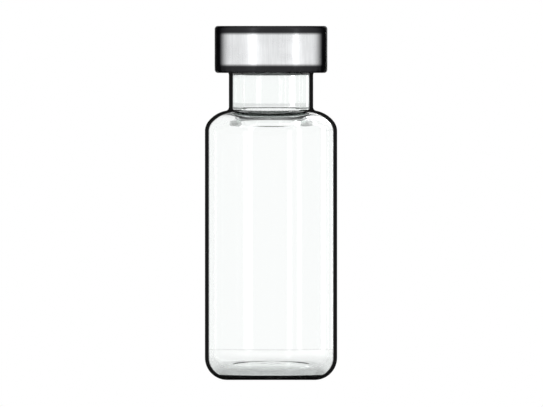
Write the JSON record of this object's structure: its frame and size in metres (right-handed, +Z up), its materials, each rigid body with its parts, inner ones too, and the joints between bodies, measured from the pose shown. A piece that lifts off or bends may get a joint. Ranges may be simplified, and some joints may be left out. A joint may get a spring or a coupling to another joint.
{
  "type": "glass sample vial",
  "caption": "Clear glass sample vial with a straight body, rounded shoulder and bare neck, closed by a rubber septum under a crimped aluminium seal.",
  "frame": {"origin": "centre of the foot, at the height of the ring that the vial stands on", "axes": "+Z up the axis of the vial, from the foot to the seal. X and Y are free, because every piece is round."},
  "size_m": [0.016, 0.016, 0.0428],
  "materials": {
    "glass": "clear, fire polished",
    "rubber": "matt",
    "aluminium": "plain rolled, satin"
  },
  "bodies": {
    "root": {"glass_vial": "glass", "septum": "rubber", "crimp_seal": "aluminium"}
  },
  "joints": []
}
